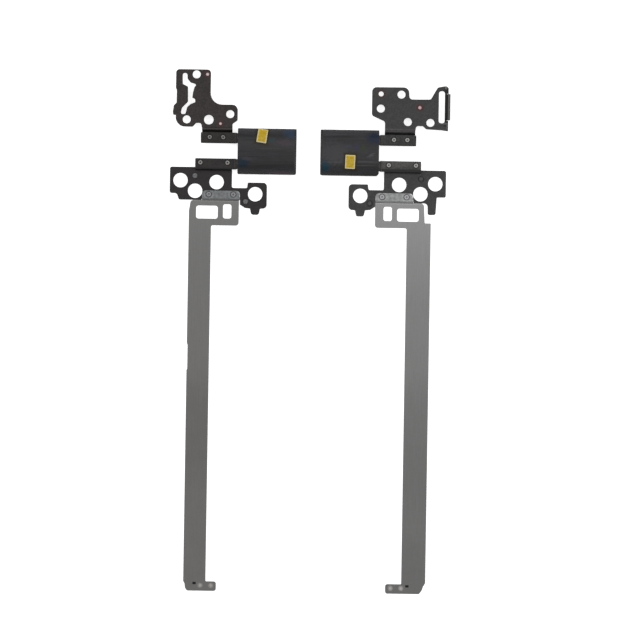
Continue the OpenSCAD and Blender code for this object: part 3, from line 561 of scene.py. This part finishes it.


# The film's tone in bands across the cover, partly where it clings along the shafts and partly
# painted light that makes the cover's curved sides lighter: place across the cover and shade.
# Tints are patches where it stands off, the small light ones by its creases painted highlights:
# place in from the mouth, place across, half sizes and colour
filmLook = {
    "left": {
        "bands": [
            (-8.6, 0.05), (-6.9, 0.034), (-5.6, 0.024), (-2.8, 0.036),
            (0, 0.038), (3.4, 0.052), (6, 0.036), (8.4, 0.06),
        ],
        "tints": [
            (2.0, -4.5, 2.3, 1.7, (0.008, 0.0206, 0.038)),
            (21.2, 7.2, 2.5, 2.1, (0.038, 0.056, 0.094)),
            (13.5, 4.4, 1.5, 0.9, (0.036, 0.057, 0.064)),
            (18.6, 3.5, 3.2, 1.1, (0.068, 0.055, 0.063)),
            (11.2, 2.6, 2.4, 0.9, (0.047, 0.041, 0.036)),
            (4.0, -3.0, 2.4, 0.8, (0.050, 0.047, 0.058)),
            (17.0, -8.5, 4.5, 0.5, (0.062, 0.046, 0.056)),
            (4.5, 5.8, 4.5, 0.25, (0.026, 0.030, 0.033)),
            (5.5, 4.5, 4.5, 0.22, (0.029, 0.035, 0.038)),
            (7.0, -2.2, 5.0, 0.22, (0.029, 0.025, 0.029)),
            (14.0, 1.0, 6.0, 0.2, (0.056, 0.055, 0.055)),
        ],
    },
    "right": {
        "bands": [
            (-7, 0.04), (-4.9, 0.029), (-4, 0.044), (0.8, 0.047),
            (4.4, 0.042), (6.3, 0.045), (8, 0.061),
        ],
        "tints": [
            (18.0, -0.5, 6.2, 3.8, (0.064, 0.064, 0.068)),
            (2.0, 5.7, 2.7, 2.1, (0.019, 0.028, 0.055)),
            (21.9, -5.7, 2.4, 2.1, (0.014, 0.041, 0.060)),
            (6.4, 1.7, 1.0, 1.3, (0.044, 0.055, 0.034)),
            (9.0, 2.2, 1.2, 1.4, (0.048, 0.046, 0.072)),
            (3.9, -1.5, 0.8, 0.3, (0.080, 0.077, 0.084)),
            (3.1, -0.9, 0.9, 0.32, (0.092, 0.088, 0.094)),
            (2.4, -0.3, 0.8, 0.28, (0.080, 0.077, 0.084)),
            (5.0, -3.6, 5.0, 0.24, (0.076, 0.076, 0.080)),
            (5.5, -5.1, 5.0, 0.2, (0.060, 0.060, 0.062)),
            (18.0, -3.9, 3.6, 0.22, (0.080, 0.080, 0.084)),
            (16.5, 7.2, 6.5, 0.24, (0.068, 0.068, 0.072)),
            (16.0, 6.2, 6.5, 0.24, (0.030, 0.030, 0.032)),
            (12.4, 2.4, 1.5, 0.6, (0.056, 0.058, 0.078)),
        ],
    },
    "tone": (1.0, 0.98, 1.06),
    "alpha": 0.94,
    "halo": (0.034, 0.024, 0.004),  # dark brownish halo round the tape
    "haloReach": (0.1, 1.4),
}


def tapeInset(skin, side):  # how far a point lies inside the edge of the tape
    low, high = boxOf(side + "_tape_tab")
    turn = math.radians(tapeLook["turns"][side])
    wide, tall = tapeLook["size"]
    spot = skin.moved(skin.place, (-(low.x + high.x) / 2, -(low.y + high.y) / 2, 0))
    x, y = skin.axis("X", spot), skin.axis("Y", spot)
    across = abs(x * math.cos(turn) + y * math.sin(turn))
    along = abs(y * math.cos(turn) - x * math.sin(turn))
    return (wide / 2 - across).atMost(tall / 2 - along)


def clearFilm(side):
    look = filmLook[side]
    skin = Finish(side + "ClearFilm")
    mouth, middle = mouthOf(side)
    streak = skin.noise(0.5, 3, 0.6, (0.05, 0.7, 1), seed=8)  # fine lines along the shafts
    cloud = skin.noise(3.2, 3, 0.6, (0.6, 1, 1), seed=sides[side] + 12)
    across = skin.axis("Y") - middle + (cloud - 0.5) * 0.9
    # painted light in the bands: the cover's curved sides made lighter
    shade = skin.ramp(across, look["bands"], -10, 10) * (0.46 + streak * 0.82 + cloud * 0.26)
    colour = skin.mix(1.0, skin.grey(shade), filmLook["tone"], "MULTIPLY")
    # tints, the small light ones by creases being painted highlights
    for inward, y, halfX, halfY, tint in look["tints"]:
        x = mouth - sides[side] * inward
        patch = skin.patch(x, middle + y, halfX, halfY, 0.65, 1.9) * (0.4 + streak * 1.1)
        colour = skin.mix(patch.atMost(1.0), colour, tint)
    past = (cloud - 0.5) * 0.8 - tapeInset(skin, side)
    halo = 1 - skin.step(past, *filmLook["haloReach"])
    tapeFoot = boxOf(side + "_tape_tab")[0].z
    halo = halo * skin.step(skin.axis("Z"), tapeFoot - 1.2, tapeFoot - 0.2)
    colour = skin.mix(halo * 0.85, colour, filmLook["halo"])
    return skin.close({
        "Base Color": colour,
        "Roughness": 0.36 + streak * 0.14,
        "Alpha": filmLook["alpha"],
        "Normal": skin.bump(streak + skin.noise(1.6, 2, 0.5, seed=5) * 2, 0.02, 0.4),
        "Specular IOR Level": 0.12,
    })


tapeLook = {
    "gold": (0.62, 0.42, 0.020),
    "deep": (0.48, 0.32, 0.012),
    "pale": (0.72, 0.63, 0.34),
    "border": 0.36,
    "size": (3.95, 5.5),
    "turns": {"left": -8.4, "right": -1.9},  # degrees
    "bevel": 0.03,
}


def yellowTape(side):
    look = tapeLook
    skin = Finish(side + "YellowTape")
    cloud = skin.noise(0.9, 3, 0.6)
    colour = skin.mix(skin.step(cloud, 0.4, 0.68), look["gold"], look["deep"])
    inset = tapeInset(skin, side) + (cloud - 0.5) * 0.4
    rim = 1 - skin.step(inset, look["border"] * 0.5, look["border"] * 1.7)
    colour = skin.mix(rim, colour, look["pale"])
    return skin.close({
        "Base Color": colour,
        "Roughness": 0.4 + cloud * 0.2,
        "Normal": skin.bump(cloud + skin.noise(0.2, 2, 0.5) * 0.3, 0.03, 0.5),
        "Specular IOR Level": 0.3,
    })


# Inspection marks on the keyboard brackets, in small holes: place from the bracket's inner end
# and from the end under the leaf, radius of the hole, strength of the red wash, and tone of the
# paint, where it fills the hole
inkMarks = {
    "left": [
        (12.25, 27.2, 0.65, 0.4, (0.82, 0.67, 0.68)),
        (6.8, 7.6, 0.55, 0.5, (0.78, 0.65, 0.62)),
    ],
    "right": [
        (19.1, 15.2, 0.7, 0.65, (0.78, 0.55, 0.58)),
        (3.6, 20.45, 1.0, 0.3, None),
    ],
}
markPaint = {  # discs of paint and a square prism of painted shade in each slit, in millimetres
    "level": 3.95,  # above the bracket's lowest place, just under the plate's top
    "spare": 0.02,  # how far a disc goes into the wall of its hole
    "depth": 0.3,
    "corners": 24,
    "dotLevel": 0.35,
    "dotRadius": 0.7,
    "slit": (0.12, -0.15, 0.5),  # black prism of painted shade in the slit: from the lower leaf's outer end inward, from its foot up, height
    "slitSize": (0.05, 1.0, 0.85),
}


def marksOf(side):  # centre, radius, strength of the wash and tone of each mark
    low, high = boxOf(side + "_base_bracket")
    inner = high.x if side == "left" else low.x
    return [(inner + sides[side] * x, low.y + y, *rest) for x, y, *rest in inkMarks[side]]


def plug(name, body, material, centre, size, corners=4):  # a small upright prism, in millimetres
    block = bmesh.new()
    bmesh.ops.create_cone(block, cap_ends=True, segments=corners, radius1=1, radius2=1, depth=1)
    if corners == 4:  # sides square to the axes, and one unit wide
        bmesh.ops.rotate(block, verts=block.verts, matrix=Matrix.Rotation(math.pi / 4, 3, "Z"))
        bmesh.ops.scale(block, verts=block.verts, vec=(math.sqrt(0.5), math.sqrt(0.5), 1))
    bmesh.ops.scale(block, verts=block.verts, vec=[c * mm for c in size])
    bmesh.ops.translate(block, verts=block.verts, vec=[c * mm for c in centre])
    mesh = bpy.data.meshes.new(name)
    block.to_mesh(mesh)
    block.free()
    mesh.materials.append(material)
    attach(link(name, mesh), body)


def paint(name, tone, centre=(0, 0), radius=0):
    skin = Finish(name)
    cloud = skin.noise(0.7, 2, 0.5)
    colour = skin.mix(cloud, tone, [c * 0.85 for c in tone])
    if radius:  # thinner towards its rim
        rim = skin.step(skin.ring(*centre) + (cloud - 0.5) * 0.5, radius * 0.3, radius * 1.1)
        colour = skin.mix(rim, colour, [c * 0.55 for c in tone])
    return skin.close({"Base Color": colour, "Roughness": 0.6, "Specular IOR Level": 0.2})


def paintDisc(name, body, tone, centre, radius):
    wide = radius + markPaint["spare"]
    skin = paint(name, tone, centre[:2], radius)
    plug(name, body, skin, centre, (wide, wide, markPaint["depth"]), markPaint["corners"])


def paintMarks(side):
    level = boxOf(side + "_base_bracket")[0].z + markPaint["level"]
    for number, (x, y, radius, _, tone) in enumerate(marksOf(side)):
        if tone:
            name = side + "_mark_" + str(number)
            paintDisc(name, side + "_base_side", tone, (x, y, level), radius)
    for number, (x, y) in enumerate(footDots(side)):
        name = side + "_foot_dot_" + str(number)
        centre = (x, y, markPaint["dotLevel"])
        tone = rolled["dotTone"][side]
        paintDisc(name, side + "_screen_side", tone, centre, markPaint["dotRadius"])
    inward, up, height = markPaint["slit"]  # a black prism in the slit beside the leaf's end: painted shade
    leaf = side + "_display_shaft"
    slit = (fromOuter(side, leaf, inward), boxOf(leaf)[0].y + up, height)
    slitShade = paint(side + "_slit_paint", blackCoat[side + "_display_bracket"][0])
    plug(side + "_slit", side + "_screen_side", slitShade, slit, markPaint["slitSize"])


def area(xs, ys, soft):  # a mark inside a rectangle
    across, along = band("X", *xs, soft), band("Y", *ys, soft)
    return lambda skin: across(skin) * along(skin)


# Lighter and darker places of the keyboard brackets, with how strong each is: painted highlights
# along the bend above the leaf and on the flange's top edge, painted shade in the flange's bend,
# and patches at the flange's ends, some lighter, some darker. Bands go up from the end under the
# leaf. Patches are ovals at the flange's ends: place in from the outer end, place along it from
# its top or its foot, half sizes and how ragged
bracketLightAndWear = {
    "left": {"bands": [(5.25, 5.75, 0.2, 0.5)]},
    "right": {
        "bands": [(5.25, 5.75, 0.2, 0.5), (5.9, 6.6, 0.4, 0.22)],
        "flange": {"across": (2.3, 0.95), "foot": 9.4, "top": 1.2, "soft": 0.4, "strength": -0.9},
        "flangeTop": {"from": -0.1, "to": 0.5, "soft": 0.1, "strength": 0.4},
        "topPatches": [
            (1.6, 1.7, 0.9, 1.3, 1.2, -1.0),
            (1.8, 0.4, 0.4, 0.9, 0.6, 0.9),
        ],
        "footPatches": [
            (1.5, 10.2, 1.0, 0.9, 1.2, -1.0),
            (2.4, 9.0, 1.5, 0.3, 0.6, 0.5),
            (1.1, 8.0, 0.3, 1.1, 0.6, 0.45),
            (1.9, 8.1, 0.6, 0.5, 0.6, -0.8),
        ],
    },
    "patchSoft": 0.5,
}


def oval(x, y, halfX, halfY, ragged):
    return lambda skin: skin.patch(x, y, halfX, halfY, bracketLightAndWear["patchSoft"], ragged)


def bracketMarks(side):
    wearAndPaintedLight = bracketLightAndWear[side]
    low, high = boxOf(side + "_base_bracket")
    # painted highlights along the bend above the leaf
    marks = [
        (band("Y", low.y + start, low.y + end, soft), strength)
        for start, end, soft, strength in wearAndPaintedLight["bands"]
    ]
    if "flange" in wearAndPaintedLight:
        flange, top = wearAndPaintedLight["flange"], wearAndPaintedLight["flangeTop"]
        # painted shade in the bend between the slot and the flange
        across = [high.x - inward for inward in flange["across"]]
        along = (low.y + flange["foot"], high.y - flange["top"])
        marks.append((area(across, along, flange["soft"]), flange["strength"]))
        # painted highlight along the flange's top edge
        edge = band("Z", high.z + top["from"], high.z + top["to"], top["soft"])
        marks.append((edge, top["strength"]))
        # patches at the flange's ends, some lighter and some darker
        for inward, down, halfX, halfY, ragged, strength in wearAndPaintedLight["topPatches"]:
            marks.append((oval(high.x - inward, high.y - down, halfX, halfY, ragged), strength))
        for inward, up, halfX, halfY, ragged, strength in wearAndPaintedLight["footPatches"]:
            marks.append((oval(high.x - inward, low.y + up, halfX, halfY, ragged), strength))
    return marks


def shaftMarks(shaft, side):  # painted light on the neck and painted shade along the foot, and one leaf lighter along its middle
    mouth, way = mouthOf(side)[0], sides[side]
    foot = boxOf(shaft)[0].y
    lighterMiddle = shaft == "right_display_shaft"
    neck = sorted(mouth + way * reach for reach in blackCoat["neck"])
    start, end = blackCoat["wideFoot" if lighterMiddle else "foot"]
    marks = [
        # painted light by the cover's mouth, then painted shade along the leaf's foot
        (band("X", *neck, 0.3), 0.4),
        (band("Y", foot + start, foot + end, 0.5), -0.85),
    ]
    if lighterMiddle:
        start, end = blackCoat["middleBand"]
        marks.append((band("Y", foot + start, foot + end, 1), 0.15))
    return marks


def dressBlack(side):
    bracket, plate = side + "_base_bracket", side + "_display_bracket"
    inked = [mark[:4] for mark in marksOf(side)]
    pins = pairOf(side + "_locating_pins", headLook["pinRadius"])
    finishes = {
        bracket: blackSteel(bracket, (), inked, bracketMarks(side)),
        plate: blackSteel(plate, pins),
    }
    for half in ("base", "display"):
        shaft = side + "_" + half + "_shaft"
        rivets = pairOf(side + "_" + half + "_rivets")
        finishes[shaft] = blackSteel(shaft, rivets, (), shaftMarks(shaft, side))
    coat = blackCoat
    edge = wornEdge(side + "BlackEdge", coat[bracket][0], coat["edge"], coat["edgeWear"])
    for name, finish in finishes.items():
        dress([name], finish, coat["bevel"], edge)


def dressStrip(side):
    edge = wornEdge(
        side + "StripEdge", rolled["edge"][side], rolled[side]["top"], rolled["edgeWear"]
    )
    dress([side + "_display_strip"], rolledSteel(side), rolled["bevel"], edge)


def dressMetal():
    for side in sides:
        dressBlack(side)
        dressStrip(side)
        for node in headLook:
            if node.startswith(side):
                dress([node], headSteel(node), headLook["bevel"])
        paintMarks(side)
    for finish, groups in insidePieces.items():
        steel = plainSteel(finish)
        for names, bevel in groups:
            dress(bothSides(*names), steel, bevel)
    print("metal dressed")


filmShape = {
    "lift": 0.03,  # off the cover
    "short": 0.1,  # of the cover's mouth
    "ripple": 0.02,
    "creases": {  # inward from the mouth, across, turn in degrees, length, height
        "left": [
            (7.5, 2.6, 38, 5.0, 0.05),
            (16.5, -2.2, -25, 6.0, 0.04),
            (4.2, -1.0, 62, 4.0, 0.05),
        ],
        "right": [
            (3.4, 0.6, 48, 4.6, 0.09),
            (4.6, -0.4, 40, 3.6, 0.07),
            (16.0, 3.0, -30, 6.0, 0.04),
        ],
    },
    "creaseWidth": 0.22,
    "cut": {"left": 0.3, "right": 1.1},  # trimmed clear of the cover's cut corner
    "cutSlope": 0.7,
    "columns": 120,
    "rows": 150,
}


def filmProfile(side):  # y and z round the cover, row by row, and the way out from each
    look = filmShape
    rows = []
    baseY = axisOf(side, "base")[0]
    displayY, axisZ = axisOf(side, "screen")
    radius = boxOf(side + "_cover")[1].z / 2 + look["lift"]
    flat = baseY - displayY
    filmFoot = boxOf(side + "_film")[0].z
    start = math.pi / 2 - math.acos(-(axisZ - filmFoot) / radius)
    arc = radius * (math.pi / 2 - start)
    whole = 2 * arc + flat
    for i in range(look["rows"] + 1):
        s = whole * i / look["rows"]
        if s < arc:
            angle, y = start + s / radius, baseY
        elif s < arc + flat:
            angle, y = math.pi / 2, baseY - (s - arc)
        else:
            angle, y = math.pi / 2 + (s - arc - flat) / radius, displayY
        out = (math.cos(angle), math.sin(angle))
        rows.append((y + radius * out[0], axisZ + radius * out[1], Vector((0, *out))))
    return rows


def filmRise(x, y, creases):  # how far ripples and creases lift the film
    rise = filmShape["ripple"] * (1 + math.sin(x * 0.9 + 1.3 * math.sin(y * 0.7))) / 2
    for middleX, middleY, turn, length, height in creases:
        dx, dy = x - middleX, y - middleY
        c, d = math.cos(math.radians(turn)), math.sin(math.radians(turn))
        along, beside = dx * c + dy * d, dy * c - dx * d
        across = math.exp(-((beside / filmShape["creaseWidth"]) ** 2))
        rise += height * across * math.exp(-((along / length * 2) ** 4))
    return rise


def filmSheet(side):
    look = filmShape
    low, high = boxOf(side + "_film")
    way = sides[side]
    mouth, middle = mouthOf(side)
    mouth -= way * look["short"]
    inner = high.x if side == "left" else low.x
    creases = [
        (mouth - way * inward, middle + across, *rest)
        for inward, across, *rest in look["creases"][side]
    ]
    coverFoot = boxOf(side + "_cover")[0].y
    sheet = bmesh.new()
    grid = []
    for y, z, out in filmProfile(side):
        cut = max(0, look["cut"][side] - (y - coverFoot)) * look["cutSlope"]
        row = []
        for j in range(look["columns"] + 1):
            x = inner + (mouth - way * cut - inner) * j / look["columns"]
            spot = Vector((x, y, z)) + out * filmRise(x, y, creases)
            row.append(sheet.verts.new(spot * mm))
        grid.append(row)
    for i in range(look["rows"]):
        for j in range(look["columns"]):
            corners = (grid[i][j], grid[i][j + 1], grid[i + 1][j + 1], grid[i + 1][j])
            sheet.faces.new(corners).smooth = True
    bmesh.ops.recalc_face_normals(sheet, faces=sheet.faces)
    mesh = bpy.data.meshes.new(side + "FilmWrap")
    sheet.to_mesh(mesh)
    sheet.free()
    mesh.materials.append(clearFilm(side))
    piece = link(side + "_film_wrap", mesh)
    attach(piece, "covers")
    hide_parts(side + "_film")


def dressCovers():
    dress(bothSides("cover"), coverPlastic(), coverLook["bevel"])
    for side in sides:
        dress([side + "_tape_tab"], yellowTape(side), tapeLook["bevel"])
        filmSheet(side)
    print("covers, film and tape dressed")


studio = {
    "floor": 1.6,  # metres across
    "floorTone": (0.86, 0.86, 0.86),
    "floorGlow": 0.75,  # lit from beneath, as a light table is, so that shadows stay faint
    "sky": [(0.0, 0.36), (0.3, 0.30), (0.7, 0.30), (0.97, 0.62)],  # upward part, strength
    "lamps": [(-0.35, 0.25, 1.1), (0.38, 0.12, 1.1)],  # metres
    "lampSize": 0.4,
    "lampPower": 2.6,
}


def layFloor():
    half = studio["floor"] / 2
    corners = [(-half, -half, 0), (half, -half, 0), (half, half, 0), (-half, half, 0)]
    mesh = bpy.data.meshes.new("floor")
    mesh.from_pydata(corners, [], [(0, 1, 2, 3)])
    skin = Finish("floorPaper")
    tone = studio["floorTone"]
    mesh.materials.append(skin.close({
        "Base Color": skin.mix(skin.noise(40, 2, 0.5), tone, [c * 1.01 for c in tone]),
        "Roughness": 0.9,
        "Specular IOR Level": 0.0,
        "Emission Color": (1, 1, 1),
        "Emission Strength": studio["floorGlow"],
    }))
    floor = link("floor", mesh)
    floor.visible_glossy = False  # dark pieces don't mirror it


def hangLights():
    sky = Backdrop("studio")
    up = sky.axis("Z", sky.node("TexCoord", out="Generated"))
    glow = sky.node("ValToRGB", {"stops": studio["sky"]}, {0: up})
    light = sky.node("Background", sockets={"Color": glow})
    sky.node("OutputWorld", sockets={"Surface": light})
    bpy.context.scene.world = sky.world
    for number, place in enumerate(studio["lamps"]):
        data = bpy.data.lights.new(f"softbox{number}", "AREA")
        data.size = studio["lampSize"]
        data.energy = studio["lampPower"]
        lamp = link(data.name, data)
        lamp.location = place
        lamp.rotation_euler = Vector(place).to_track_quat("Z", "Y").to_euler()


def buildStudio():
    layFloor()
    hangLights()
    print("studio built")


cameraPlace = {
    "centre": (5.15, 4.9),  # millimetres, as the width of the view
    "width": 256,
    "focal": 300,
    "sensor": 36,
    "roll": 0.9,  # the photograph leans this many degrees
}


def placeCamera():
    view = cameraPlace
    data = bpy.data.cameras.new("camera")
    data.lens = view["focal"]
    data.sensor_width = view["sensor"]
    data.clip_end = 20
    camera = link("camera", data)
    away = view["width"] * view["focal"] / view["sensor"]
    camera.location = (view["centre"][0] * mm, view["centre"][1] * mm, away * mm)
    camera.rotation_euler = (0, 0, math.radians(view["roll"]))
    bpy.context.scene.camera = camera
    bpy.context.scene.view_settings.view_transform = "Standard"
    print("camera placed")


placeCamera()
buildStudio()
dressMetal()
dressCovers()
